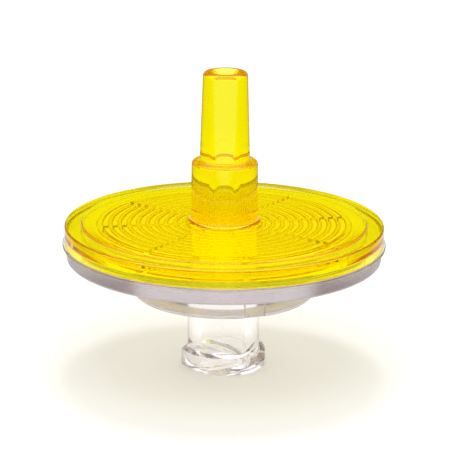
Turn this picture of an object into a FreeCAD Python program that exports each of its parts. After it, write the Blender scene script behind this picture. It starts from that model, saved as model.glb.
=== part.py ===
"""A 25 mm syringe filter, standing on its female Luer lock.

Frame: the origin is the middle of the bottom end face, +Z runs up the axis, millimetres.
Pieces: inlet_housing (clear, female Luer lock), membrane, outlet_housing (yellow, male Luer slip).
"""

import FreeCAD, Part
import os

import Sketcher

os.makedirs("parts", exist_ok=True)
doc = FreeCAD.newDocument("SyringeFilter")

# Driving dimensions, in millimetres and degrees. Lengths along the axis stack up from the bottom.
SIZES = [
    # female Luer lock and its tube
    ("socket_mouth_radius", 2.15, "mouth of the female taper"),
    ("socket_depth", 8.0, "depth of the female taper"),
    ("luer_taper", 0.06, "loss of diameter for each millimetre of length"),
    ("tube_wall", 1.12, "wall of the inlet tube at the mouth"),
    ("tube_length", 6.92, "end face to the underside of the boss"),
    ("passage_radius", 0.9, "hole from the socket up to the chamber"),
    # double-start thread
    ("thread_height", 0.57, "how far a ridge stands out of the tube"),
    ("thread_lead", 5.0, "rise in one turn of each start"),
    ("thread_starts", 2, "number of starts"),
    ("thread_drop", 0.4, "how far a ridge's foot lies below the end face, on the +X side"),
    ("thread_gap", 0.25, "gap between two ridges at their roots"),
    ("thread_lower_flank", 0.35, "how far the lower flank leans"),
    ("thread_upper_flank", 0.45, "how far the upper flank leans"),
    ("thread_top_height", 1.72, "height at which the crest is cut off"),
    ("thread_top_slope", 0.2, "rise of that cut from the crest to the tube"),
    ("thread_root_overlap", 0.4, "how far a ridge reaches into the tube wall"),
    # boss and skirt of the inlet housing
    ("boss_radius", 8.32, "side of the boss"),
    ("boss_depth", 3.35, "how far the boss stands below the flange"),
    ("boss_edge_round", 0.5, "rounding of its lower edge"),
    ("notch_width", 1.9, "gate notch in the side of the boss"),
    ("notch_depth", 0.55, "how far the notch cuts in"),
    ("notch_angle", -70.0, "its direction, from +X towards +Y"),
    ("skirt_height", 1.51, "flange to the joint between the housings"),
    ("skirt_setback", 0.18, "how far the clear wall lies inside the yellow wall"),
    ("skirt_edge_round", 0.25, "rounding of its lower edge"),
    ("lip_overhang", 0.17, "how far the lip stands out of the yellow wall"),
    ("lip_thickness", 0.25, "thickness of the lip"),
    # membrane, and how the housings hold it
    ("membrane_radius", 12.5, "25 mm membrane"),
    ("membrane_thickness", 0.15, "thickness of the membrane"),
    ("clamp_width", 0.99, "edge of the membrane that is gripped"),
    ("chamber_depth", 0.5, "room under the membrane"),
    ("spigot_margin", 0.55, "width of the upstand outside the membrane"),
    ("spigot_height", 0.22, "height of the upstand above the joint"),
    ("spigot_clearance", 0.05, "gap between the upstand and its recess"),
    # disc of the outlet housing
    ("rim_wall", 1.35, "yellow wall round the recess"),
    ("rim_draft", 0.03, "how much wider that wall is at the joint"),
    ("rim_edge_round", 0.15, "rounding of its top edge"),
    ("land_thickness", 1.32, "membrane to the top of the outer ring"),
    ("land_width", 1.5, "width of that ring"),
    ("deck_step", 0.21, "step up to the raised middle"),
    ("deck_crown", 0.1, "further rise to its flat part"),
    ("deck_edge_round", 0.12, "rounding of the step's edge"),
    # support rings and channels under the disc
    ("ring_count", 10, "number of ring grooves"),
    ("ring_pitch", 0.84, "from one groove to the next"),
    ("ring_width", 0.42, "width of a groove"),
    ("ring_margin", 0.13, "how much wider the outermost groove is"),
    ("ring_depth", 0.45, "depth of the grooves and channels"),
    ("channel_count", 8, "number of radial channels"),
    ("channel_width", 0.55, "width of a channel"),
    ("channel_angle", -80.3, "direction of the first channel"),
    # collar and male Luer slip
    ("collar_length", 5.56, "top of the disc to the top of the collar"),
    ("collar_step", 0.726, "flat ring round the foot of the taper"),
    ("collar_draft", 0.05, "how much wider the collar is at the disc"),
    ("collar_foot_round", 0.35, "fillet at its foot"),
    ("collar_edge_round", 0.3, "rounding of its top edge"),
    ("tip_length", 8.13, "top of the collar to the nose"),
    ("tip_foot_round", 0.25, "fillet at the foot of the taper"),
    ("nose_radius", 2.0, "small end of the male taper"),
    ("nose_edge_round", 0.35, "rounding of the nose"),
    ("bore_radius", 0.84, "bore at the top of the collar, where it is narrowest"),
    ("bore_draft", 0.06, "how much wider it is at either end"),
    ("mouth_radius", 1.36, "countersunk mouth of the bore at the nose"),
    ("mouth_depth", 0.5, "depth of the countersink"),
]

sheet = doc.addObject("Spreadsheet::Sheet", "size")
for row, (alias, number, meaning) in enumerate(SIZES, start=1):
    sheet.set(f"A{row}", meaning)
    sheet.set(f"B{row}", str(number))
    sheet.setAlias(f"B{row}", alias)
doc.recompute()

# Heights of the faces, each measured up from the end face.
BOSS_UNDERSIDE = "size.tube_length"
FLANGE = f"({BOSS_UNDERSIDE} + size.boss_depth)"
JOINT = f"({FLANGE} + size.skirt_height)"
LIP_UNDERSIDE = f"({JOINT} - size.lip_thickness)"
CLAMP = f"({JOINT} + size.spigot_height)"
CHAMBER_FLOOR = f"({CLAMP} - size.chamber_depth)"
RIBS = f"({CLAMP} + size.membrane_thickness)"
GROOVE_TOP = f"({RIBS} + size.ring_depth)"
LAND = f"({RIBS} + size.land_thickness)"
DECK_EDGE = f"({LAND} + size.deck_step)"
DECK = f"({DECK_EDGE} + size.deck_crown)"
COLLAR_TOP = f"({DECK} + size.collar_length)"
NOSE = f"({COLLAR_TOP} + size.tip_length)"

# Radii that follow from the driving dimensions.
TUBE = "(size.socket_mouth_radius + size.tube_wall)"
THREAD_CREST = f"({TUBE} + size.thread_height)"
SOCKET_END = "(size.socket_mouth_radius - size.luer_taper / 2 * size.socket_depth)"
CHAMBER = "(size.membrane_radius - size.clamp_width)"
SPIGOT = "(size.membrane_radius + size.spigot_margin)"
RECESS = f"({SPIGOT} + size.spigot_clearance)"
RIM = f"({RECESS} + size.rim_wall)"
RIM_FOOT = f"({RIM} + size.rim_draft)"
SKIRT = f"({RIM_FOOT} - size.skirt_setback)"
LIP = f"({RIM_FOOT} + size.lip_overhang)"
DECK_RIM = f"({RIM} - size.land_width)"
RINGS = f"({CHAMBER} - size.ring_margin)"
WELL = f"({RINGS} - size.ring_count * size.ring_pitch)"
TIP_FOOT = "(size.nose_radius + size.luer_taper / 2 * size.tip_length)"
COLLAR = f"({TIP_FOOT} + size.collar_step)"
COLLAR_FOOT = f"({COLLAR} + size.collar_draft)"
BORE_END = "(size.bore_radius + size.bore_draft)"


def value(expression):
    """Number that an expression on the sheet gives."""
    return float(sheet.evalExpression(expression))


def origin_plane(body, role):
    """Origin plane of a body, such as XZ_Plane."""
    return next(item for item in body.Origin.OriginFeatures if item.Role == role)


def new_body(label):
    """Empty body whose Label is the name of its node."""
    body = doc.addObject("PartDesign::Body", label)
    body.Label = label
    return body


def new_sketch(body, name, role="XZ_Plane", height="0", turn="0"):
    """Sketch on an origin plane. On XY_Plane it can be raised, and turned about the axis."""
    sketch = body.newObject("Sketcher::SketchObject", name)
    sketch.AttachmentSupport = [(origin_plane(body, role), "")]
    sketch.MapMode = "FlatFace"
    if role == "XY_Plane":
        rotation = FreeCAD.Rotation(FreeCAD.Vector(0, 0, 1), value(turn))
        sketch.AttachmentOffset = FreeCAD.Placement(FreeCAD.Vector(0, 0, value(height)), rotation)
        sketch.setExpression(".AttachmentOffset.Base.z", height)
        sketch.setExpression(".AttachmentOffset.Rotation.Angle", turn)
    return sketch


def add_loop(sketch, corners):
    """Closed loop of straight lines. Each corner is a pair of expressions, and is bound to them."""
    points = [FreeCAD.Vector(value(across), value(up), 0) for across, up in corners]
    first = sketch.GeometryCount
    for index, point in enumerate(points):
        following = points[(index + 1) % len(points)]
        sketch.addGeometry(Part.LineSegment(point, following), False)
    for index, (across, up) in enumerate(corners):
        line = first + index
        following = first + (index + 1) % len(corners)
        sketch.addConstraint(Sketcher.Constraint("Coincident", line, 2, following, 1))
        bind(sketch, "DistanceX", line, points[index].x, across)
        bind(sketch, "DistanceY", line, points[index].y, up)


def bind(sketch, kind, line, number, expression):
    """Distance of a line's first end from the sketch's origin, bound to an expression."""
    constraint = sketch.addConstraint(Sketcher.Constraint(kind, -1, 1, line, 1, number))
    sketch.setExpression(f"Constraints[{constraint}]", expression)


def turned(body, kind, name, sketch):
    """Revolution or Groove of a sketch, all the way round the Z axis."""
    feature = body.newObject(f"PartDesign::{kind}", name)
    feature.Profile = sketch
    feature.ReferenceAxis = (sketch, ["V_Axis"])
    feature.Angle = 360
    doc.recompute()
    return feature


def cut_upwards(body, name, sketch, depth):
    """Pocket that runs up from its sketch."""
    pocket = body.newObject("PartDesign::Pocket", name)
    pocket.Profile = sketch
    pocket.Reversed = True
    pocket.setExpression("Length", depth)
    doc.recompute()
    return pocket


def around_axis(body, name, feature, sketch, axis, count):
    """Copies of a feature, evenly spaced about an axis of its sketch."""
    pattern = body.newObject("PartDesign::PolarPattern", name)
    pattern.Originals = [feature]
    pattern.Axis = (sketch, [axis])
    pattern.Angle = 360
    pattern.setExpression("Occurrences", count)
    body.Tip = pattern
    doc.recompute()
    return pattern


def rounded(body, name, across, up, radius):
    """Fillet on the circular edge that has a given radius and height."""
    base = body.Tip
    wanted = (value(across), value(up))
    edges = []
    for index, edge in enumerate(base.Shape.Edges, start=1):
        if not isinstance(edge.Curve, Part.Circle):
            continue
        found = (edge.Curve.Radius, edge.Curve.Center.z)
        if max(abs(found[0] - wanted[0]), abs(found[1] - wanted[1])) < 0.001:
            edges.append(f"Edge{index}")
    if not edges:
        raise RuntimeError(f"{name}: no edge at {wanted}")
    fillet = body.newObject("PartDesign::Fillet", name)
    fillet.Base = (base, edges)
    fillet.setExpression("Radius", radius)
    doc.recompute()
    return fillet


def check_cut(name, before, after):
    """A cut must take something away, and leave most of the piece."""
    if not 0.2 * before < after < before - 0.001:
        raise RuntimeError(f"{name}: volume went from {before:.3f} to {after:.3f}")
    print(f"{name}: cut {before - after:.3f} mm3")


def make_inlet_housing():
    """Clear moulding: female Luer lock, tube, boss, flange and skirt, with the chamber on top."""
    body = new_body("inlet_housing")
    section = new_sketch(body, "inlet_section")
    add_loop(section, [
        ("size.passage_radius", CHAMBER_FLOOR),
        (CHAMBER, CHAMBER_FLOOR),
        (CHAMBER, CLAMP),
        (SPIGOT, CLAMP),
        (SPIGOT, JOINT),
        (LIP, JOINT),
        (LIP, LIP_UNDERSIDE),
        (SKIRT, LIP_UNDERSIDE),
        (SKIRT, FLANGE),
        ("size.boss_radius", FLANGE),
        ("size.boss_radius", BOSS_UNDERSIDE),
        (TUBE, BOSS_UNDERSIDE),
        (TUBE, "0"),
        ("size.socket_mouth_radius", "0"),
        (SOCKET_END, "size.socket_depth"),
        ("size.passage_radius", "size.socket_depth"),
    ])
    turned(body, "Revolution", "inlet_turned", section)
    rounded(body, "skirt_edge", SKIRT, FLANGE, "size.skirt_edge_round")
    rounded(body, "boss_edge", "size.boss_radius", BOSS_UNDERSIDE, "size.boss_edge_round")
    add_thread(body)
    cut_gate_notch(body)
    return body


def add_thread(body):
    """Right-hand double-start thread of the Luer lock.

    A ridge starts on the -X side, wholly below the end face, and climbs round the tube. What is
    left below the end face and above the thread's top is then turned away.
    """
    foot = "(0 - size.thread_drop - size.thread_lead / 2)"
    root_width = "(size.thread_lead / 2 - size.thread_gap)"
    inner = f"(0 - {TUBE} + size.thread_root_overlap)"
    root = f"(0 - {TUBE})"
    crest = f"(0 - {THREAD_CREST})"
    ridge = new_sketch(body, "ridge_section")
    add_loop(ridge, [
        (inner, foot),
        (root, foot),
        (crest, f"({foot} + size.thread_lower_flank)"),
        (crest, f"({foot} + {root_width} - size.thread_upper_flank)"),
        (root, f"({foot} + {root_width})"),
        (inner, f"({foot} + {root_width})"),
    ])
    top = "(size.thread_top_height + size.thread_top_slope)"
    helix = body.newObject("PartDesign::AdditiveHelix", "ridge")
    helix.Profile = ridge
    helix.ReferenceAxis = (ridge, ["V_Axis"])
    helix.Mode = 0
    helix.LeftHanded = False
    helix.Reversed = False
    helix.setExpression("Pitch", "size.thread_lead")
    helix.setExpression("Height", f"{top} - {foot} + 0.3")
    doc.recompute()
    around_axis(body, "both_starts", helix, ridge, "V_Axis", "size.thread_starts")

    untrimmed = body.Tip.Shape.Volume
    outside = f"({THREAD_CREST} + 1)"
    below = f"({foot} - 0.5)"
    above = f"({top} + {root_width} + 0.5)"
    ends = new_sketch(body, "thread_ends")
    add_loop(ends, [
        ("0", below),
        (outside, below),
        (outside, "0"),
        ("0", "0"),
    ])
    add_loop(ends, [
        (TUBE, top),
        (THREAD_CREST, "size.thread_top_height"),
        (outside, "size.thread_top_height"),
        (outside, above),
        (TUBE, above),
    ])
    trimmed = turned(body, "Groove", "thread_trimmed", ends)
    check_cut("thread ends", untrimmed, trimmed.Shape.Volume)


def cut_gate_notch(body):
    """Notch in the side of the boss, where the mould was filled."""
    whole = body.Tip.Shape.Volume
    half_width = "(size.notch_width / 2)"
    floor = "(size.boss_radius - size.notch_depth)"
    outside = "(size.boss_radius + 0.5)"
    notch = new_sketch(body, "notch_outline", "XY_Plane", BOSS_UNDERSIDE, "size.notch_angle")
    add_loop(notch, [
        (floor, f"(0 - {half_width})"),
        (outside, f"(0 - {half_width})"),
        (outside, half_width),
        (floor, half_width),
    ])
    cut_upwards(body, "gate_notch", notch, "size.boss_depth")
    check_cut("gate notch", whole, body.Tip.Shape.Volume)


def make_membrane():
    """Round sheet of filter membrane, gripped between the housings."""
    body = new_body("membrane")
    outline = new_sketch(body, "membrane_outline", "XY_Plane", CLAMP)
    number = value("size.membrane_radius")
    outline.addGeometry(Part.Circle(FreeCAD.Vector(), FreeCAD.Vector(0, 0, 1), number), False)
    outline.addConstraint(Sketcher.Constraint("Coincident", 0, 3, -1, 1))
    radius = outline.addConstraint(Sketcher.Constraint("Radius", 0, number))
    outline.setExpression(f"Constraints[{radius}]", "size.membrane_radius")
    disc = body.newObject("PartDesign::Pad", "membrane_disc")
    disc.Profile = outline
    disc.setExpression("Length", "size.membrane_thickness")
    doc.recompute()
    return body


def make_outlet_housing():
    """Yellow moulding: disc with its supports underneath, collar and male Luer slip."""
    body = new_body("outlet_housing")
    section = new_sketch(body, "outlet_section")
    add_loop(section, [
        (BORE_END, RIBS),
        (RECESS, RIBS),
        (RECESS, JOINT),
        (RIM_FOOT, JOINT),
        (RIM, LAND),
        (DECK_RIM, LAND),
        (DECK_RIM, DECK_EDGE),
        (CHAMBER, DECK),
        (COLLAR_FOOT, DECK),
        (COLLAR, COLLAR_TOP),
        (TIP_FOOT, COLLAR_TOP),
        ("size.nose_radius", NOSE),
        ("size.mouth_radius", NOSE),
        (BORE_END, f"({NOSE} - size.mouth_depth)"),
        ("size.bore_radius", COLLAR_TOP),
    ])
    turned(body, "Revolution", "outlet_turned", section)
    rounded(body, "rim_edge", RIM, LAND, "size.rim_edge_round")
    rounded(body, "deck_rim", DECK_RIM, DECK_EDGE, "size.deck_edge_round")
    rounded(body, "collar_foot", COLLAR_FOOT, DECK, "size.collar_foot_round")
    rounded(body, "collar_edge", COLLAR, COLLAR_TOP, "size.collar_edge_round")
    rounded(body, "tip_foot", TIP_FOOT, COLLAR_TOP, "size.tip_foot_round")
    rounded(body, "nose_edge", "size.nose_radius", NOSE, "size.nose_edge_round")
    cut_support_rings(body)
    cut_channels(body)
    return body


def cut_support_rings(body):
    """Ring grooves under the disc, and the round well in its middle. Ribs are left between them.
    The outermost groove reaches the chamber wall."""
    solid = body.Tip.Shape.Volume
    grooves = new_sketch(body, "groove_sections")
    add_loop(grooves, [
        ("0", RIBS),
        (WELL, RIBS),
        (WELL, GROOVE_TOP),
        ("0", GROOVE_TOP),
    ])
    for ring in range(round(value("size.ring_count"))):
        outer = f"({RINGS} - {ring} * size.ring_pitch)"
        inner = f"({outer} - size.ring_width)"
        if ring == 0:
            outer = CHAMBER
        add_loop(grooves, [
            (inner, RIBS),
            (outer, RIBS),
            (outer, GROOVE_TOP),
            (inner, GROOVE_TOP),
        ])
    rings = turned(body, "Groove", "support_rings", grooves)
    check_cut("support rings", solid, rings.Shape.Volume)


def cut_channels(body):
    """Radial channels that carry the filtrate across the rings to the well."""
    ringed = body.Tip.Shape.Volume
    half_width = "(size.channel_width / 2)"
    start = f"({WELL} / 2)"
    channel = new_sketch(body, "channel_outline", "XY_Plane", RIBS, "size.channel_angle")
    add_loop(channel, [
        (start, f"(0 - {half_width})"),
        (CHAMBER, f"(0 - {half_width})"),
        (CHAMBER, half_width),
        (start, half_width),
    ])
    first = cut_upwards(body, "first_channel", channel, "size.ring_depth")
    around_axis(body, "all_channels", first, channel, "N_Axis", "size.channel_count")
    check_cut("channels", ringed, body.Tip.Shape.Volume)


pieces = [make_inlet_housing(), make_membrane(), make_outlet_housing()]
doc.recompute()

for item in doc.Objects:
    if "Invalid" in item.State or "Error" in item.State:
        raise RuntimeError(f"{item.Name} is {item.State}")
for piece in pieces:
    if piece.Shape.isNull() or not piece.Shape.isValid():
        raise RuntimeError(f"{piece.Label} has no valid shape")

for piece in pieces:
    piece.Shape.exportStep(f"parts/{piece.Label}.step")
    box = piece.Shape.optimalBoundingBox(True, False)
    print(f"{piece.Label}: {len(piece.Shape.Solids)} solid, {piece.Shape.Volume:.1f} mm3,"
          f" z {box.ZMin:.2f} to {box.ZMax:.2f}, diameter {box.XLength:.2f}")
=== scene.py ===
# %% [markdown]
# # A 25 mm syringe filter
#
# A syringe filter is two clear plastic mouldings, welded together round a thin white membrane.
# The lower one is clear and screws onto a syringe with its female Luer lock. The upper one is
# yellow and ends in a male Luer slip, which takes a needle.
#
# The CAD model gives each piece its place. This lesson makes a finer mesh for each one, with
# rounded edges and smooth walls, because light bends through clear plastic and shows every facet.

import math

import bmesh
import bpy
from mathutils import Matrix, Vector


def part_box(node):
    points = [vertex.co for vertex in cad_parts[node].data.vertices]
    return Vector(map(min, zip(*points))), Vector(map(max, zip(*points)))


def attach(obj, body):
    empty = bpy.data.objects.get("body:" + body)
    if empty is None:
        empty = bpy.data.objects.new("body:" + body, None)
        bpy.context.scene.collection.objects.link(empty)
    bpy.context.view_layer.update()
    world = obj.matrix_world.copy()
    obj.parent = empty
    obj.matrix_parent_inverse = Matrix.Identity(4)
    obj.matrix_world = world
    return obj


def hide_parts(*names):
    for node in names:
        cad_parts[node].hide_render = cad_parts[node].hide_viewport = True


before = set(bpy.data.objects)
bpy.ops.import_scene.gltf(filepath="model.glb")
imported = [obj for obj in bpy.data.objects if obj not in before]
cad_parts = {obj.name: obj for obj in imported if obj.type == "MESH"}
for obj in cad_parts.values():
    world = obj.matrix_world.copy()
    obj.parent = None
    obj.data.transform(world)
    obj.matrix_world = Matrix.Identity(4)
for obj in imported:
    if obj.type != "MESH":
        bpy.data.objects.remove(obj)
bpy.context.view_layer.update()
print("CAD nodes:", sorted(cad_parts))

# %% [markdown]
# ## Sizes
#
# Everything is turned about the Z axis, so a size is either a radius or a height. Heights come
# from the CAD pieces where they end: the end face, the joint between the housings, the membrane
# and the nose. Millimetres are easier to read than metres at this scale, so the meshes are made
# in millimetres and turned into metres once they are finished.

# %% Heights and radii, in millimetres
MM = 0.001


def height_range(node):
    """Lowest and highest point of a CAD node, in millimetres."""
    low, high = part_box(node)
    return low[2] / MM, high[2] / MM


END_FACE, CLAMP = height_range("inlet_housing")
MEMBRANE_LOW, MEMBRANE_TOP = height_range("membrane")
JOINT, NOSE = height_range("outlet_housing")

AIR = 0.012  # clear plastic needs a little air between two pieces, or the light is lost there
SMALL_ROUND = 0.05  # rounding of the sharpest moulded edges
SEGMENTS = 288

print(f"joint {JOINT:.2f}, membrane {MEMBRANE_LOW:.2f} to {MEMBRANE_TOP:.2f}, nose {NOSE:.2f}")

# %% [markdown]
# ## The camera
#
# The filter stands upright and is seen a little from above, through a long lens. From so far away
# the far edge of the disc looks nearly as wide as the near one. The camera leans by half a degree,
# as a hand-held one does.

# %% Camera
CAMERA_AIM = Vector((0.0, 0.0, 0.01344))
CAMERA_DISTANCE = 0.2002
CAMERA_RISE = math.radians(16.218)
CAMERA_LEAN = math.radians(0.489)

camera_data = bpy.data.cameras.new("camera")
camera_data.sensor_width = 36.0
camera_data.lens = 176.636
camera_data.shift_x = 0.00164
camera_data.shift_y = -0.00461
camera = bpy.data.objects.new("camera", camera_data)
bpy.context.scene.collection.objects.link(camera)

look = Vector((0.0, math.cos(CAMERA_RISE), -math.sin(CAMERA_RISE)))
level = Vector((1.0, 0.0, 0.0))
upright = level.cross(look)
across = level * math.cos(CAMERA_LEAN) + upright * math.sin(CAMERA_LEAN)
up = upright * math.cos(CAMERA_LEAN) - level * math.sin(CAMERA_LEAN)
turn = Matrix((across, up, -look)).transposed().to_4x4()
camera.matrix_world = Matrix.Translation(CAMERA_AIM - look * CAMERA_DISTANCE) @ turn
bpy.context.scene.camera = camera
print("camera at", [round(value, 4) for value in camera.location])

# %% [markdown]
# ## Turned pieces
#
# A lathe makes a round piece from its half section. Here the section is a closed list of points,
# radius and height, and each point becomes one ring of the mesh. Moulded edges are never quite
# sharp, so a corner of the section is an arc of short steps. Edges that stay sharper than 25
# degrees are marked, so the walls shade smoothly and the corners stay crisp.


# %% Helpers for turned pieces
def rounding(radius, height, size, start, end, steps=7):
    """Points of an arc about a centre in the section, from one angle to another, in degrees."""
    points = []
    for step in range(steps + 1):
        angle = math.radians(start + (end - start) * step / steps)
        points.append((radius + size * math.cos(angle), height + size * math.sin(angle)))
    return points


def with_supports(outline, near=0.008, long_wall=0.06):
    """Adds a point close to both ends of each long wall, so that smooth shading leaves it straight."""
    supported = []
    for here, there in zip(outline, outline[1:] + outline[:1]):
        supported.append(here)
        length = math.dist(here, there)
        if length > long_wall and max(here[0], there[0]) > 1e-6:
            for share in (near / length, 1.0 - near / length):
                supported.append(tuple(a + (b - a) * share for a, b in zip(here, there)))
    return supported


def turned_mesh(name, section):
    """Closed mesh of a section turned about the Z axis, in millimetres."""
    points, rings = [], []
    section = with_supports(section)
    for radius, height in section:
        if radius < 1e-6:
            rings.append([len(points)] * SEGMENTS)
            points.append((0.0, 0.0, height))
            continue
        rings.append(list(range(len(points), len(points) + SEGMENTS)))
        for segment in range(SEGMENTS):
            angle = 2.0 * math.pi * segment / SEGMENTS
            points.append((radius * math.cos(angle), radius * math.sin(angle), height))
    faces = []
    for index, ring in enumerate(rings):
        following = rings[(index + 1) % len(rings)]
        for segment in range(SEGMENTS):
            nearby = (segment + 1) % SEGMENTS
            corners = [ring[segment], ring[nearby], following[nearby], following[segment]]
            corners = list(dict.fromkeys(corners))
            if len(corners) > 2:
                faces.append(corners)
    mesh = bpy.data.meshes.new(name)
    mesh.from_pydata(points, [], faces)
    mesh.validate()
    point_outwards(mesh)
    return mesh


def point_outwards(mesh):
    """Makes every face of a closed mesh point outwards."""
    work = bmesh.new()
    work.from_mesh(mesh)
    bmesh.ops.recalc_face_normals(work, faces=work.faces)
    work.to_mesh(mesh)
    work.free()


def new_piece(name, mesh):
    """Object for a mesh, in the scene."""
    piece = bpy.data.objects.new(name, mesh)
    bpy.context.scene.collection.objects.link(piece)
    return piece


def shade(mesh, sharp_above=25.0):
    """Smooth shading, with the edges above an angle marked as sharp."""
    work = bmesh.new()
    work.from_mesh(mesh)
    for face in work.faces:
        face.smooth = True
    for edge in work.edges:
        gentle = edge.calc_face_angle(0.0) < math.radians(sharp_above)
        edge.smooth = len(edge.link_faces) == 2 and gentle
    work.to_mesh(mesh)
    work.free()


# %% [markdown]
# ## Shapes from Geometry Nodes
#
# The rings, channels and thread ridges repeat, and a repeat is what Geometry Nodes do well. Each
# tree takes the turned piece, makes its cutters or ridges from a few named sizes, and joins them
# by Mesh Boolean. The result is then kept as a plain mesh and the modifier is taken off.


# %% Helpers for Geometry Nodes
def new_shape_tree(name, sizes):
    """Geometry tree with a geometry input and output, a material input and named sizes."""
    tree = bpy.data.node_groups.new(name, "GeometryNodeTree")
    tree.interface.new_socket("Geometry", in_out="INPUT", socket_type="NodeSocketGeometry")
    for size_name, value in sizes.items():
        kind = "NodeSocketInt" if isinstance(value, int) else "NodeSocketFloat"
        tree.interface.new_socket(size_name, in_out="INPUT", socket_type=kind)
    tree.interface.new_socket("Material", in_out="INPUT", socket_type="NodeSocketMaterial")
    tree.interface.new_socket("Geometry", in_out="OUTPUT", socket_type="NodeSocketGeometry")
    return tree


def add(tree, kind, links=None, **settings):
    """New node. links maps an input, by name or number, to a value or to another node's output."""
    node = tree.nodes.new(kind)
    for setting, value in settings.items():
        setattr(node, setting, value)
    for key, value in (links or {}).items():
        socket = node.inputs[key]
        if isinstance(value, bpy.types.NodeSocket):
            tree.links.new(value, socket)
        else:
            socket.default_value = value
    return node


def math_node(tree, operation, first, second=0.0):
    """Output of a Math node."""
    return add(tree, "ShaderNodeMath", {0: first, 1: second}, operation=operation).outputs[0]


def finish_shape(tree, geometry):
    """Ends a tree with Realize Instances and Set Material."""
    sizes = tree.nodes["sizes"]
    real = add(tree, "GeometryNodeRealizeInstances", {"Geometry": geometry})
    painted = add(tree, "GeometryNodeSetMaterial",
                  {"Geometry": real.outputs[0], "Material": sizes.outputs["Material"]})
    add(tree, "NodeGroupOutput", {0: painted.outputs[0]})


def apply_shape(piece, tree, sizes, material):
    """Runs a tree on a piece, keeps the result as its plain mesh and finishes it."""
    modifier = piece.modifiers.new(tree.name, "NODES")
    modifier.node_group = tree
    for socket in tree.interface.items_tree:
        if socket.in_out != "INPUT" or socket.name == "Geometry":
            continue
        modifier[socket.identifier] = material if socket.name == "Material" else sizes[socket.name]
    bpy.context.view_layer.update()
    evaluated = piece.evaluated_get(bpy.context.evaluated_depsgraph_get())
    made = bpy.data.meshes.new_from_object(evaluated)
    piece.modifiers.remove(modifier)
    earlier = piece.data
    piece.data = made
    bpy.data.meshes.remove(earlier)
    made.name = piece.name
    for slot in reversed(range(len(made.materials))):
        if made.materials[slot] is None:
            made.materials.pop(index=slot)
    finish_mesh(piece)


def finish_mesh(piece):
    """Merges doubles, points the faces outwards, goes to metres and shades the mesh."""
    mesh = piece.data
    work = bmesh.new()
    work.from_mesh(mesh)
    bmesh.ops.remove_doubles(work, verts=work.verts, dist=1e-5)
    bmesh.ops.dissolve_degenerate(work, edges=work.edges, dist=1e-5)
    bmesh.ops.recalc_face_normals(work, faces=work.faces)
    bmesh.ops.scale(work, vec=(MM, MM, MM), verts=work.verts)
    open_edges = sum(1 for edge in work.edges if not edge.is_manifold)
    work.to_mesh(mesh)
    work.free()
    shade(mesh)
    print(f"{piece.name}: {len(mesh.polygons)} faces, {open_edges} open edges")


# %% [markdown]
# ## Plastic
#
# Clear plastic is a glass-like shader with a refractive index of about 1.57. Its colour comes
# from Volume Absorption, so a thick wall is deeper in colour than a thin one, as in the real
# moulding. The surface isn't perfect: polished steel leaves faint ripples, handling leaves fine
# scuffs, and the clear housing is a little matte above its tube. One node group makes all three,
# and each plastic uses it with its own values.


# %% Helper for shader trees and the node group for the moulded surface
def linked(tree, kind, links=None, **settings):
    """New shader node, made by add(), with its first output."""
    return add(tree, kind, links, **settings).outputs[0]


def make_moulded_surface():
    """Shader group: fine ripples as a height, and scuffs and a matte zone as a roughness."""
    group = bpy.data.node_groups.new("moulded_surface", "ShaderNodeTree")
    for name in ("Ripple Scale", "Scuff Scale", "Smooth Roughness", "Scuffed Roughness", "Matte Above",
                 "Matte Roughness"):
        group.interface.new_socket(name, in_out="INPUT", socket_type="NodeSocketFloat")
    group.interface.new_socket("Height", in_out="OUTPUT", socket_type="NodeSocketFloat")
    group.interface.new_socket("Roughness", in_out="OUTPUT", socket_type="NodeSocketFloat")
    values = add(group, "NodeGroupInput").outputs
    place = add(group, "ShaderNodeTexCoord").outputs["Object"]
    ripple = linked(group, "ShaderNodeTexNoise",
                    {"Vector": place, "Scale": values["Ripple Scale"], "Detail": 2.0})
    scuff = linked(group, "ShaderNodeTexNoise",
                   {"Vector": place, "Scale": values["Scuff Scale"], "Detail": 6.0, "Roughness": 0.7})
    scuffs = linked(group, "ShaderNodeMapRange",
                    {"Value": scuff, "From Min": 0.52, "From Max": 0.78,
                     "To Min": values["Smooth Roughness"], "To Max": values["Scuffed Roughness"]})
    level = add(group, "ShaderNodeSeparateXYZ", {"Vector": place}).outputs["Z"]
    above = math_node(group, "SUBTRACT", level, values["Matte Above"])
    matte = linked(group, "ShaderNodeMapRange",
                   {"Value": above, "From Min": 0.0, "From Max": 0.4 * MM, "To Min": 0.0,
                    "To Max": values["Matte Roughness"]})
    add(group, "NodeGroupOutput", {"Height": ripple, "Roughness": math_node(group, "ADD", scuffs, matte)})
    return group


moulded_surface = make_moulded_surface()

REFRACTIVE_INDEX = 1.57


def clear_plastic(name, surface_colour, absorption_colour, absorption, roughness,
                  matte_above=1.0, matte_roughness=0.0):
    """Clear plastic: refractive surface, coloured by the depth of the wall. roughness is a pair."""
    material = bpy.data.materials.new(name)
    material.use_nodes = True
    tree = material.node_tree
    shader = tree.nodes["Principled BSDF"]
    shader.inputs["Base Color"].default_value = (*surface_colour, 1.0)
    shader.inputs["IOR"].default_value = REFRACTIVE_INDEX
    shader.inputs["Transmission Weight"].default_value = 1.0
    smooth, scuffed = roughness
    surface = add(tree, "ShaderNodeGroup", node_tree=moulded_surface)
    values = {"Ripple Scale": 420.0, "Scuff Scale": 900.0, "Smooth Roughness": smooth,
              "Scuffed Roughness": scuffed, "Matte Above": matte_above, "Matte Roughness": matte_roughness}
    for input_name, value in values.items():
        surface.inputs[input_name].default_value = value
    bump = linked(tree, "ShaderNodeBump",
                  {"Height": surface.outputs["Height"], "Strength": 0.2, "Distance": 0.001 * MM})
    tree.links.new(bump, shader.inputs["Normal"])
    tree.links.new(surface.outputs["Roughness"], shader.inputs["Roughness"])
    depth = linked(tree, "ShaderNodeVolumeAbsorption",
                   {"Color": (*absorption_colour, 1.0), "Density": absorption})
    tree.links.new(depth, tree.nodes["Material Output"].inputs["Volume"])
    return material


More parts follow.
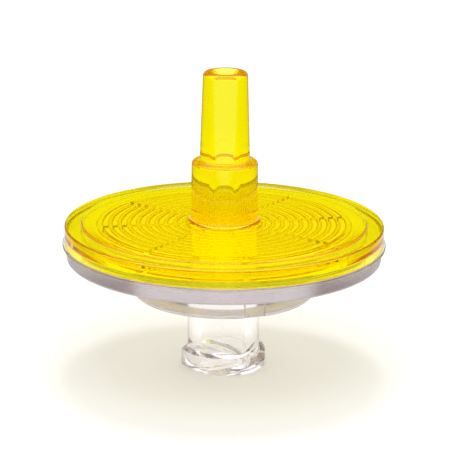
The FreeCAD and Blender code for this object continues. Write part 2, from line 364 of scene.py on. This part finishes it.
# %% The two plastics
yellow_plastic = clear_plastic(
    "yellow_moulding", (1.0, 1.0, 0.95), (0.9963, 0.984, 0.0), 2500.0, (0.02, 0.06))
clear_housing_plastic = clear_plastic(
    "clear_moulding", (0.99, 0.99, 0.99), (0.785, 0.745, 0.77), 112.0, (0.0, 0.03),
    matte_above=6.85 * MM, matte_roughness=0.16)
print("plastics:", yellow_plastic.name, clear_housing_plastic.name)

# %% [markdown]
# The membrane is a thin sheet of white polymer foam. It is matte and very fine grained, so a
# noise gives it a faint mottle and a small bump.


# %% Membrane material
def make_membrane_material():
    """Matte cream-white sheet with a fine grain."""
    material = bpy.data.materials.new("membrane_sheet")
    material.use_nodes = True
    tree = material.node_tree
    shader = tree.nodes["Principled BSDF"]
    shader.inputs["Roughness"].default_value = 0.85
    shader.inputs["IOR"].default_value = 1.4
    place = add(tree, "ShaderNodeTexCoord").outputs["Object"]
    grain = linked(tree, "ShaderNodeTexNoise", {"Vector": place, "Scale": 3500.0, "Detail": 4.0})
    mottle = add(tree, "ShaderNodeMix",
                 {"Factor": grain, "A": (0.90, 0.86, 0.78, 1.0), "B": (0.95, 0.915, 0.84, 1.0)},
                 data_type="RGBA")
    bump = linked(tree, "ShaderNodeBump", {"Height": grain, "Strength": 0.3, "Distance": 0.03 * MM})
    tree.links.new(mottle.outputs["Result"], shader.inputs["Base Color"])
    tree.links.new(bump, shader.inputs["Normal"])
    return material


membrane_material = make_membrane_material()
print("membrane material:", membrane_material.name)

# %% [markdown]
# ## The outlet housing
#
# This is the yellow moulding. Its top shows a slightly crowned disc with a ring-shaped land
# round it, then the collar and the male Luer slip, which tapers by 6 %. A fine bore runs down
# the middle. Underneath, a recess takes the upstand of the clear housing.

# %% Section of the outlet housing
RIBS = MEMBRANE_TOP + AIR
GROOVE_DEPTH = 0.45
LAND = MEMBRANE_TOP + 1.32
DECK_EDGE = LAND + 0.21
DECK = DECK_EDGE + 0.10
COLLAR_TOP = DECK + 5.56

CHAMBER = 11.51
RECESS = 13.10
RIM, RIM_ROUND = 14.45, 0.15
RIM_FOOT = 14.48
DECK_RIM, DECK_ROUND = 12.95, 0.12
CROWN = 0.25  # over this width to either side of the chamber's radius the deck starts to fall away
COLLAR, COLLAR_ROUND = 2.97, 0.3
COLLAR_FOOT, COLLAR_FILLET = 3.02, 0.35
TIP_FOOT, TIP_FILLET = 2.244, 0.25
NOSE_RADIUS, NOSE_ROUND = 2.0, 0.35
MOUTH = 1.36
THROAT, THROAT_ROUND = NOSE - 0.6, 0.2
BORE = 0.84
BORE_END = BORE + 0.06

outlet_section = [(BORE_END, RIBS), (RECESS, RIBS), (RECESS, JOINT + AIR)]
outlet_section += rounding(RIM_FOOT - SMALL_ROUND, JOINT + AIR + SMALL_ROUND, SMALL_ROUND, -90, 0, 3)
outlet_section += rounding(RIM - RIM_ROUND, LAND - RIM_ROUND, RIM_ROUND, 0, 90)
outlet_section += [(DECK_RIM + SMALL_ROUND + 0.01, LAND)]
outlet_section += rounding(DECK_RIM + SMALL_ROUND, LAND + SMALL_ROUND, SMALL_ROUND, 270, 180, 4)
outlet_section += rounding(DECK_RIM - DECK_ROUND, DECK_EDGE - DECK_ROUND, DECK_ROUND, 0, 86)
outlet_section += [(CHAMBER + CROWN, DECK - 0.02), (CHAMBER, DECK - 0.003), (CHAMBER - CROWN, DECK)]
outlet_section += rounding(COLLAR_FOOT + COLLAR_FILLET, DECK + COLLAR_FILLET, COLLAR_FILLET, 270, 180)
outlet_section += rounding(COLLAR - COLLAR_ROUND, COLLAR_TOP - COLLAR_ROUND, COLLAR_ROUND, 0, 90)
outlet_section += rounding(TIP_FOOT + TIP_FILLET, COLLAR_TOP + TIP_FILLET, TIP_FILLET, 270, 180)
outlet_section += rounding(NOSE_RADIUS - NOSE_ROUND, NOSE - NOSE_ROUND, NOSE_ROUND, 0, 90)
outlet_section += rounding(MOUTH + SMALL_ROUND, NOSE - SMALL_ROUND, SMALL_ROUND, 90, 150, 3)
outlet_section += rounding(BORE_END + THROAT_ROUND, THROAT, THROAT_ROUND, 150, 180, 4)
outlet_section += [(BORE, COLLAR_TOP)]
print(f"outlet housing section: {len(outlet_section)} points")

# %% [markdown]
# Under the disc lie ten ring grooves, with ribs between them that carry the membrane, and eight
# channels that cross the ribs and lead to a well in the middle. They are what shows as fine rings
# through the yellow plastic. In the tree, circles of ten sizes are swept with one groove section,
# a box is repeated for the channels, and all of them are cut out of the housing at once.

# %% Rings and channels
SUPPORT_SIZES = {
    "Outer Radius": CHAMBER,
    "Rings": 10,
    "Ring Pitch": 0.84,
    "Ring Width": 0.42,
    "Ring Margin": 0.13,
    "Ring Draft": 0.08,
    "Ceiling Round": 0.06,
    "Depth": GROOVE_DEPTH,
    "Ribs": RIBS,
    "Channels": 8,
    "Channel Width": 0.55,
    "Channel Angle": math.radians(-80.3),
}


def make_support_tree():
    """Cuts ring grooves, a well and radial channels into the underside of the disc."""
    tree = new_shape_tree("membrane_support", SUPPORT_SIZES)
    size = add(tree, "NodeGroupInput")
    size.name = "sizes"
    out = size.outputs
    half_depth = math_node(tree, "MULTIPLY", out["Depth"], 0.5)
    # one circle for each groove, at its own radius
    points = add(tree, "GeometryNodePoints", {"Count": out["Rings"]})
    number = add(tree, "GeometryNodeInputIndex").outputs[0]
    inwards = math_node(tree, "MULTIPLY", number, out["Ring Pitch"])
    half_width = math_node(tree, "MULTIPLY", out["Ring Width"], 0.5)
    ring_edge = math_node(tree, "SUBTRACT", out["Outer Radius"], out["Ring Margin"])
    outermost = math_node(tree, "SUBTRACT", ring_edge, half_width)
    radius = math_node(tree, "SUBTRACT", outermost, inwards)
    circle = add(tree, "GeometryNodeCurvePrimitiveCircle", {"Resolution": SEGMENTS, "Radius": 1.0})
    circles = add(tree, "GeometryNodeInstanceOnPoints",
                  {"Points": points.outputs[0], "Instance": circle.outputs[0], "Scale": radius})
    paths = add(tree, "GeometryNodeRealizeInstances", {"Geometry": circles.outputs[0]})
    # a cutter reaches from just below the ribs to the groove's ceiling
    below = 0.2
    cutter_height = math_node(tree, "ADD", out["Depth"], below)
    draft = math_node(tree, "MULTIPLY", cutter_height, out["Ring Draft"])
    mouth_width = math_node(tree, "ADD", out["Ring Width"], draft)
    ceiling_width = math_node(tree, "SUBTRACT", out["Ring Width"], draft)
    groove_shape = add(tree, "GeometryNodeCurvePrimitiveQuadrilateral",
                       {"Height": cutter_height, "Bottom Width": ceiling_width, "Top Width": mouth_width,
                        "Offset": 0.0}, mode="TRAPEZOID")
    groove = add(tree, "GeometryNodeFilletCurve",
                 {"Curve": groove_shape.outputs[0], "Radius": out["Ceiling Round"], "Count": 5,
                  "Limit Radius": True}, mode="POLY")
    level = math_node(tree, "ADD", out["Ribs"], math_node(tree, "SUBTRACT", half_depth, below / 2))
    lift = add(tree, "ShaderNodeCombineXYZ", {"Z": level}).outputs[0]
    # the outermost groove is wider, so it is swept twice
    edge_radius = math_node(tree, "SUBTRACT", out["Outer Radius"], half_width)
    edge_circle = add(tree, "GeometryNodeCurvePrimitiveCircle",
                      {"Resolution": SEGMENTS, "Radius": edge_radius})
    ring_cutters = []
    for path in (paths, edge_circle):
        upright_path = add(tree, "GeometryNodeSetCurveNormal", {"Curve": path.outputs[0]}, mode="Z_UP")
        rings = add(tree, "GeometryNodeCurveToMesh",
                    {"Curve": upright_path.outputs[0], "Profile Curve": groove.outputs[0]})
        ring_cutters.append(add(tree, "GeometryNodeTransform",
                                {"Geometry": rings.outputs[0], "Translation": lift}))
    # the well
    all_pitches = math_node(tree, "MULTIPLY", out["Rings"], out["Ring Pitch"])
    well_radius = math_node(tree, "SUBTRACT", ring_edge, all_pitches)
    well = add(tree, "GeometryNodeMeshCylinder",
               {"Vertices": 96, "Radius": well_radius, "Depth": cutter_height})
    well_cutter = add(tree, "GeometryNodeTransform", {"Geometry": well.outputs[0], "Translation": lift})
    # one channel box, then the same box all round
    start = math_node(tree, "MULTIPLY", well_radius, 0.5)
    length = math_node(tree, "SUBTRACT", out["Outer Radius"], start)
    middle = math_node(tree, "ADD", start, math_node(tree, "MULTIPLY", length, 0.5))
    box_size = add(tree, "ShaderNodeCombineXYZ",
                   {"X": length, "Y": out["Channel Width"], "Z": cutter_height})
    box = add(tree, "GeometryNodeMeshCube", {"Size": box_size.outputs[0]})
    box_place = add(tree, "ShaderNodeCombineXYZ", {"X": middle, "Z": level})
    placed_box = add(tree, "GeometryNodeTransform",
                     {"Geometry": box.outputs[0], "Translation": box_place.outputs[0]})
    spokes = add(tree, "GeometryNodePoints", {"Count": out["Channels"]})
    step = math_node(tree, "DIVIDE", 2.0 * math.pi, out["Channels"])
    angle = math_node(tree, "ADD", math_node(tree, "MULTIPLY", number, step), out["Channel Angle"])
    spin = add(tree, "ShaderNodeCombineXYZ", {"Z": angle}).outputs[0]
    channels = add(tree, "GeometryNodeInstanceOnPoints",
                   {"Points": spokes.outputs[0], "Instance": placed_box.outputs[0], "Rotation": spin})
    channel_cutters = add(tree, "GeometryNodeRealizeInstances", {"Geometry": channels.outputs[0]})
    # cut
    cut = add(tree, "GeometryNodeMeshBoolean", operation="DIFFERENCE", solver="MANIFOLD")
    tree.links.new(out["Geometry"], cut.inputs["Mesh 1"])
    for cutter in (*ring_cutters, well_cutter, channel_cutters):
        tree.links.new(cutter.outputs[0], cut.inputs["Mesh 2"])
    finish_shape(tree, cut.outputs[0])
    return tree


outlet_housing = new_piece("outlet_housing_moulding",
                           turned_mesh("outlet_housing_moulding", outlet_section))
apply_shape(outlet_housing, make_support_tree(), SUPPORT_SIZES, yellow_plastic)

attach(outlet_housing, "root")
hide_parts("outlet_housing")

# %% [markdown]
# ## The membrane
#
# A disc 25 mm across and 0.15 mm thick. A turned section with softly rounded edges is enough.

# %% Membrane
MEMBRANE = 12.5
MEMBRANE_FOOT = MEMBRANE_LOW + AIR

membrane_section = [(0.0, MEMBRANE_FOOT)]
membrane_section += rounding(MEMBRANE - SMALL_ROUND, MEMBRANE_FOOT + SMALL_ROUND, SMALL_ROUND, -90, 0, 3)
membrane_section += rounding(MEMBRANE - SMALL_ROUND, MEMBRANE_TOP - SMALL_ROUND, SMALL_ROUND, 0, 90, 3)
membrane_section += [(0.0, MEMBRANE_TOP)]
membrane = new_piece("membrane_disc", turned_mesh("membrane_disc", membrane_section))
membrane.data.materials.append(membrane_material)
finish_mesh(membrane)

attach(membrane, "root")
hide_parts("membrane")

# %% [markdown]
# ## The inlet housing
#
# This is the clear moulding. From the bottom it is a tube with the Luer lock thread, a solid boss,
# a flange and the outer skirt with its lip. Its upstand holds the membrane. The tube has a tapered
# socket for a syringe, and a fine passage leads on to the chamber under the membrane.

# %% Section of the inlet housing
TUBE, TUBE_FILLET = 3.27, 0.2
TUBE_LENGTH = 6.92
BOSS, BOSS_ROUND, BOSS_FILLET = 8.32, 0.5, 0.15
FLANGE = 10.27
SKIRT, SKIRT_ROUND = 14.30, 0.25
LIP, LIP_ROUND = 14.65, 0.08
LIP_FOOT = JOINT - 0.25
SPIGOT, SPIGOT_ROUND = 13.05, 0.04
PASSAGE = 0.9
CHAMBER_FLOOR = CLAMP - 0.5
SOCKET_MOUTH, SOCKET_ROUND = 2.15, 0.1
SOCKET_END, SOCKET_DEPTH = 1.91, 8.0

inlet_section = [(PASSAGE, CHAMBER_FLOOR), (CHAMBER, CHAMBER_FLOOR), (CHAMBER, CLAMP)]
inlet_section += rounding(SPIGOT - SPIGOT_ROUND, CLAMP - SPIGOT_ROUND, SPIGOT_ROUND, 90, 0, 3)
inlet_section += [(SPIGOT, JOINT)]
inlet_section += rounding(LIP - LIP_ROUND, JOINT - LIP_ROUND, LIP_ROUND, 90, 0, 4)
inlet_section += rounding(LIP - LIP_ROUND, LIP_FOOT + LIP_ROUND, LIP_ROUND, 0, -90, 4)
inlet_section += [(SKIRT, LIP_FOOT)]
inlet_section += rounding(SKIRT - SKIRT_ROUND, FLANGE + SKIRT_ROUND, SKIRT_ROUND, 0, -90)
inlet_section += rounding(BOSS + BOSS_FILLET, FLANGE - BOSS_FILLET, BOSS_FILLET, 90, 180, 4)
inlet_section += rounding(BOSS - BOSS_ROUND, TUBE_LENGTH + BOSS_ROUND, BOSS_ROUND, 0, -90, 9)
inlet_section += rounding(TUBE + TUBE_FILLET, TUBE_LENGTH - TUBE_FILLET, TUBE_FILLET, 90, 180, 5)
inlet_section += [(TUBE, END_FACE)]
inlet_section += rounding(SOCKET_MOUTH + SOCKET_ROUND, END_FACE + SOCKET_ROUND, SOCKET_ROUND, -90, -180, 4)
inlet_section += [(SOCKET_END, SOCKET_DEPTH), (PASSAGE, SOCKET_DEPTH)]
print(f"inlet housing section: {len(inlet_section)} points")

# %% [markdown]
# A Luer lock thread has two starts, so that a quarter turn locks it. One ridge is a section that
# climbs round the tube by 5 mm in a turn. It is made once, the tree repeats it for the second
# start, trims both at the end face and at the thread's top, and joins them to the tube. The tree
# also cuts the small gate notch in the side of the boss.

# %% One ridge of the thread
LEAD = 5.0
CREST, CREST_ROUND = 3.84, 0.1
RIDGE_FOOT = -2.9
RIDGE_WIDTH = 2.25
RIDGE_ROOT = TUBE - 0.4  # a ridge starts inside the tube's wall, so that the two join
LOWER_FLANK, UPPER_FLANK = 0.35, 0.45


def ridge_outline():
    """Section of a ridge: radius, and height above its foot. The crest's corners are rounded."""
    centre, inset = CREST - CREST_ROUND, CREST_ROUND * 0.6
    outline = [(RIDGE_ROOT, 0.0), (TUBE, 0.0)]
    outline += rounding(centre, LOWER_FLANK + inset, CREST_ROUND, -60, 0, 4)
    outline += rounding(centre, RIDGE_WIDTH - UPPER_FLANK - inset, CREST_ROUND, 0, 52, 4)
    outline += [(TUBE, RIDGE_WIDTH), (RIDGE_ROOT, RIDGE_WIDTH)]
    return outline


def ridge_mesh(turns=1.1, steps=220):
    """One ridge of the thread, from the -X side upwards, as a closed mesh."""
    outline = with_supports(ridge_outline())
    points, faces = [], []
    for step in range(steps + 1):
        angle = math.pi + 2.0 * math.pi * turns * step / steps
        rise = RIDGE_FOOT + LEAD * turns * step / steps
        for radius, height in outline:
            points.append((radius * math.cos(angle), radius * math.sin(angle), rise + height))
    count = len(outline)
    for step in range(steps):
        for corner in range(count):
            following = (corner + 1) % count
            faces.append([step * count + corner, step * count + following,
                          (step + 1) * count + following, (step + 1) * count + corner])
    faces.append(list(range(count)))
    faces.append([steps * count + corner for corner in reversed(range(count))])
    mesh = bpy.data.meshes.new("thread_ridge")
    mesh.from_pydata(points, [], faces)
    point_outwards(mesh)
    return mesh


ridge = new_piece("thread_ridge", ridge_mesh())
print(f"one ridge: {len(ridge.data.polygons)} faces")

# %% Envelope that trims the thread
THREAD_END = END_FACE + 0.02  # the ridges stop just above the end face
THREAD_CHAMFER = 0.12
THREAD_TOP = 1.72  # at the crest; towards the tube the ridges end a little higher
THREAD_TOP_INSIDE = THREAD_TOP + 0.27
OUTSIDE = CREST + 0.48  # clear of the crest, at 45 degrees from the chamfer

envelope_section = [(0.0, THREAD_END), (CREST - THREAD_CHAMFER, THREAD_END), (OUTSIDE, THREAD_END + 0.6)]
envelope_section += [(OUTSIDE, THREAD_TOP), (CREST, THREAD_TOP)]
envelope_section += [(TUBE - 0.2, THREAD_TOP_INSIDE), (0.0, THREAD_TOP_INSIDE)]
envelope = new_piece("thread_envelope", turned_mesh("thread_envelope", envelope_section))
print(f"thread from {THREAD_END:.2f} to {THREAD_TOP:.2f}")

# %% Thread and gate notch
INLET_SIZES = {
    "Starts": 2,
    "Notch Width": 1.9,
    "Notch Depth": 0.55,
    "Notch Angle": math.radians(-70.0),
    "Boss": BOSS,
    "Boss Underside": TUBE_LENGTH,
    "Flange": FLANGE,
}


def make_inlet_tree():
    """Repeats and trims the thread ridge, joins it to the tube and cuts the gate notch."""
    tree = new_shape_tree("luer_lock", INLET_SIZES)
    size = add(tree, "NodeGroupInput")
    size.name = "sizes"
    out = size.outputs
    one_ridge = add(tree, "GeometryNodeObjectInfo", {"Object": ridge}).outputs["Geometry"]
    limits = add(tree, "GeometryNodeObjectInfo", {"Object": envelope}).outputs["Geometry"]
    starts = add(tree, "GeometryNodePoints", {"Count": out["Starts"]})
    number = add(tree, "GeometryNodeInputIndex").outputs[0]
    angle = math_node(tree, "MULTIPLY", number, math_node(tree, "DIVIDE", 2.0 * math.pi, out["Starts"]))
    spin = add(tree, "ShaderNodeCombineXYZ", {"Z": angle}).outputs[0]
    repeated = add(tree, "GeometryNodeInstanceOnPoints",
                   {"Points": starts.outputs[0], "Instance": one_ridge, "Rotation": spin})
    ridges = add(tree, "GeometryNodeRealizeInstances", {"Geometry": repeated.outputs[0]})
    trimmed = add(tree, "GeometryNodeMeshBoolean", operation="INTERSECT", solver="MANIFOLD")
    tree.links.new(ridges.outputs[0], trimmed.inputs["Mesh 2"])
    tree.links.new(limits, trimmed.inputs["Mesh 2"])
    joined = add(tree, "GeometryNodeMeshBoolean", operation="UNION", solver="MANIFOLD")
    tree.links.new(out["Geometry"], joined.inputs["Mesh 2"])
    tree.links.new(trimmed.outputs[0], joined.inputs["Mesh 2"])
    # gate notch
    reach = math_node(tree, "ADD", out["Notch Depth"], 0.5)
    drop = math_node(tree, "SUBTRACT", out["Flange"], out["Boss Underside"])
    tall = math_node(tree, "ADD", drop, 0.5)
    box_size = add(tree, "ShaderNodeCombineXYZ", {"X": reach, "Y": out["Notch Width"], "Z": tall})
    box = add(tree, "GeometryNodeMeshCube", {"Size": box_size.outputs[0]})
    floor_radius = math_node(tree, "SUBTRACT", out["Boss"], out["Notch Depth"])
    middle = math_node(tree, "ADD", floor_radius, math_node(tree, "MULTIPLY", reach, 0.5))
    level = math_node(tree, "SUBTRACT", out["Flange"], math_node(tree, "MULTIPLY", tall, 0.5))
    outwards = add(tree, "ShaderNodeCombineXYZ", {"X": middle, "Z": level})
    pushed = add(tree, "GeometryNodeTransform",
                 {"Geometry": box.outputs[0], "Translation": outwards.outputs[0]})
    direction = add(tree, "ShaderNodeCombineXYZ", {"Z": out["Notch Angle"]})
    notch = add(tree, "GeometryNodeTransform",
                {"Geometry": pushed.outputs[0], "Rotation": direction.outputs[0]})
    cut = add(tree, "GeometryNodeMeshBoolean", operation="DIFFERENCE", solver="MANIFOLD")
    tree.links.new(joined.outputs[0], cut.inputs["Mesh 1"])
    tree.links.new(notch.outputs[0], cut.inputs["Mesh 2"])
    finish_shape(tree, cut.outputs[0])
    return tree


inlet_housing = new_piece("inlet_housing_moulding",
                          turned_mesh("inlet_housing_moulding", inlet_section))
apply_shape(inlet_housing, make_inlet_tree(), INLET_SIZES, clear_housing_plastic)
for helper in (ridge, envelope):
    bpy.data.objects.remove(helper)

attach(inlet_housing, "root")
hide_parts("inlet_housing")

# %% [markdown]
# ## Floor, light and surroundings
#
# The filter stands on a pale sheet that runs out to white. The floor keeps a soft shadow. Clear
# plastic shows mostly what lies round it, so the surroundings aren't the same all over, and each
# kind of ray has its own level by height. Light that is bent by the plastic comes from a bright
# room with a soft light overhead. Light that is reflected off it finds a dim amber band above the
# horizon, and the flat top of the disc mirrors that.


# %% Floor
def make_floor():
    """Pale floor that keeps the shadow. Camera rays and bent rays find it a little lighter."""
    half, level = 1.5, -0.02 * MM  # a little air under the end face too
    corners = [(-half, -half, level), (half, -half, level), (half, half, level), (-half, half, level)]
    mesh = bpy.data.meshes.new("floor")
    mesh.from_pydata(corners, [], [(0, 1, 2, 3)])
    material = bpy.data.materials.new("floor")
    material.use_nodes = True
    tree = material.node_tree
    shader = tree.nodes["Principled BSDF"]
    shader.inputs["Roughness"].default_value = 0.9
    shader.inputs["Specular IOR Level"].default_value = 0.0
    shader.inputs["Emission Color"].default_value = (1.0, 1.0, 1.0, 1.0)
    place = add(tree, "ShaderNodeTexCoord").outputs["Object"]
    distance = add(tree, "ShaderNodeVectorMath", {0: place}, operation="LENGTH").outputs["Value"]
    depth = add(tree, "ShaderNodeSeparateXYZ", {"Vector": place}).outputs["Y"]
    ray = add(tree, "ShaderNodeLightPath").outputs
    # reflected rays find a dark floor, but for the part close by and its pale front
    reflected = linked(tree, "ShaderNodeMath", {0: ray["Is Glossy Ray"], 1: ray["Is Transmission Ray"]},
                       operation="SUBTRACT", use_clamp=True)
    close = linked(tree, "ShaderNodeMapRange",
                   {"Value": distance, "From Min": 0.050, "From Max": 0.054, "To Min": 0.7, "To Max": 0.02})
    front = linked(tree, "ShaderNodeMapRange",
                   {"Value": depth, "From Min": -0.07, "From Max": -0.08, "To Min": 0.0, "To Max": 0.62})
    mirrored = math_node(tree, "ADD", close, front)
    colour = add(tree, "ShaderNodeMix",
                 {"Factor": reflected, "A": (0.86, 0.853, 0.836, 1.0), "B": mirrored}, data_type="RGBA")
    tree.links.new(colour.outputs["Result"], shader.inputs["Base Color"])
    # bent rays find it lighter near the thread
    near = linked(tree, "ShaderNodeMapRange",
                  {"Value": distance, "From Min": 0.045, "From Max": 0.075, "To Min": 0.28, "To Max": 0.05})
    seen = math_node(tree, "MULTIPLY", ray["Is Camera Ray"], 0.16)
    bent = math_node(tree, "MULTIPLY", ray["Is Transmission Ray"], near)
    tree.links.new(math_node(tree, "ADD", seen, bent), shader.inputs["Emission Strength"])
    mesh.materials.append(material)
    floor = new_piece("floor", mesh)
    print(f"floor: {2 * half} m wide")


make_floor()

# %% Surroundings
CAMERA_LEVEL = 1.0
SCATTERED_LEVEL = 0.79
GREY_LEVELS = {-1.0: 0.9, 0.1: 0.95, 0.3: 1.35, 0.6: 1.25, 0.85: 1.3, 1.0: 1.3}
BENT_LIGHT = {height: (level, level, level) for height, level in GREY_LEVELS.items()}
PALE = (0.9, 0.9, 0.9)
AMBER = (0.36, 0.31, 0.01)
REFLECTED_LIGHT = {-1.0: PALE, 0.08: PALE, 0.15: AMBER, 0.55: AMBER, 0.8: PALE, 1.0: PALE}


def light_by_height(tree, height, colours):
    """Light by the height of a direction, from straight down at -1 to straight up at 1."""
    share = linked(tree, "ShaderNodeMapRange", {"Value": height, "From Min": -1.0, "From Max": 1.0})
    ramp = add(tree, "ShaderNodeValToRGB", {"Fac": share})
    stops = ramp.color_ramp.elements
    while len(stops) < len(colours):
        stops.new(0.5)
    for stop, (direction, colour) in zip(stops, colours.items()):
        stop.position = (direction + 1.0) / 2.0
        stop.color = (*colour, 1.0)
    return ramp.outputs["Color"]


def choose(tree, factor, otherwise, chosen):
    """Output of a Mix node: one colour or the other, by a kind of ray."""
    links = {"Factor": factor}
    for name, value in (("A", otherwise), ("B", chosen)):
        links[name] = value if isinstance(value, bpy.types.NodeSocket) else (value, value, value, 1.0)
    return add(tree, "ShaderNodeMix", links, data_type="RGBA").outputs["Result"]


def make_surroundings():
    """World with a level of its own for rays that are scattered, reflected, bent or straight."""
    world = bpy.data.worlds.new("surroundings")
    bpy.context.scene.world = world
    world.use_nodes = True
    tree = world.node_tree
    direction = add(tree, "ShaderNodeTexCoord").outputs["Generated"]
    height = add(tree, "ShaderNodeSeparateXYZ", {"Vector": direction}).outputs["Z"]
    ray = add(tree, "ShaderNodeLightPath").outputs
    mirrored = light_by_height(tree, height, REFLECTED_LIGHT)
    light = choose(tree, ray["Is Glossy Ray"], SCATTERED_LEVEL, mirrored)
    bent = light_by_height(tree, height, BENT_LIGHT)
    light = choose(tree, ray["Is Transmission Ray"], light, bent)
    light = choose(tree, ray["Is Camera Ray"], light, CAMERA_LEVEL)
    tree.links.new(light, tree.nodes["Background"].inputs["Color"])


make_surroundings()
print(f"levels: camera {CAMERA_LEVEL}, scattered {SCATTERED_LEVEL}")

# %% Lamps
LAMP_AIM = Vector((0.0, 0.0, 0.012))


def soft_lamp(name, place, width, watts):
    """Square lamp that points at the filter. It casts the shadow, and plastic doesn't mirror it."""
    data = bpy.data.lights.new(name, "AREA")
    data.size = width
    data.energy = watts
    lamp = bpy.data.objects.new(name, data)
    bpy.context.scene.collection.objects.link(lamp)
    lamp.location = place
    lamp.visible_glossy = lamp.visible_transmission = False
    lamp.rotation_euler = (LAMP_AIM - Vector(place)).to_track_quat("-Z", "Y").to_euler()


soft_lamp("rear_lamp", (0.0, 0.14, 0.43), 0.10, 0.4)
soft_lamp("front_lamp", (0.0, -0.12, 0.43), 0.30, 0.32)
print("lamps:", [light.name for light in bpy.data.lights])

# %% [markdown]
# Light meets many walls on its way through the ribs and the thread, so it needs many bounces, and
# reflections stay sharp however many walls it has met.

# %% Bounces
cycles = bpy.context.scene.cycles
cycles.max_bounces = cycles.glossy_bounces = cycles.transmission_bounces = 96
cycles.transparent_max_bounces = 16
cycles.blur_glossy = 0.0
print("bounces:", cycles.max_bounces)

# %% [markdown]
# ## Finish
#
# The colours are shown as they are, with the Standard view.

# %% View
bpy.context.scene.view_settings.view_transform = "Standard"
